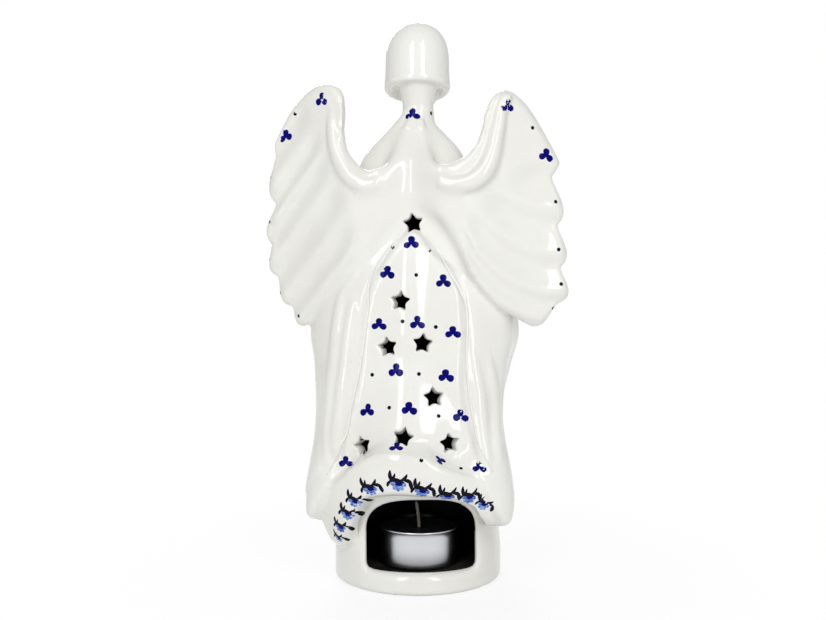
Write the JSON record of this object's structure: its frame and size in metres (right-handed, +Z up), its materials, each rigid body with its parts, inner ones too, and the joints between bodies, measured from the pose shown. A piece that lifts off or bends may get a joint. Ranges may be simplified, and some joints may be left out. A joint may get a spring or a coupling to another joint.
{
  "type": "angel candle holder",
  "caption": "Hollow glazed ceramic angel lantern with scalloped wings, a pierced robe and an arched opening in its drum base that holds a tealight.",
  "frame": {"origin": "on the axis of the drum base, at the underside of its foot", "axes": "+Z up; the candle opening and the angel's back face -Y, the angel's face looks along +Y; +X is to the right when the back is looked at"},
  "size_m": [0.1367, 0.0969, 0.2514],
  "materials": {
    "white_glaze": "glossy warm white glaze with cobalt blue and black painted motifs",
    "cup_metal": "drawn bare aluminium",
    "paraffin": "off-white paraffin wax",
    "cotton_wick": "waxed cotton",
    "clip_metal": "thin tinplate"
  },
  "bodies": {
    "root": {"angel_body": "white_glaze", "tealight_cup": "cup_metal", "tealight_wax": "paraffin", "wick": "cotton_wick", "wick_clip": "clip_metal"}
  },
  "joints": []
}
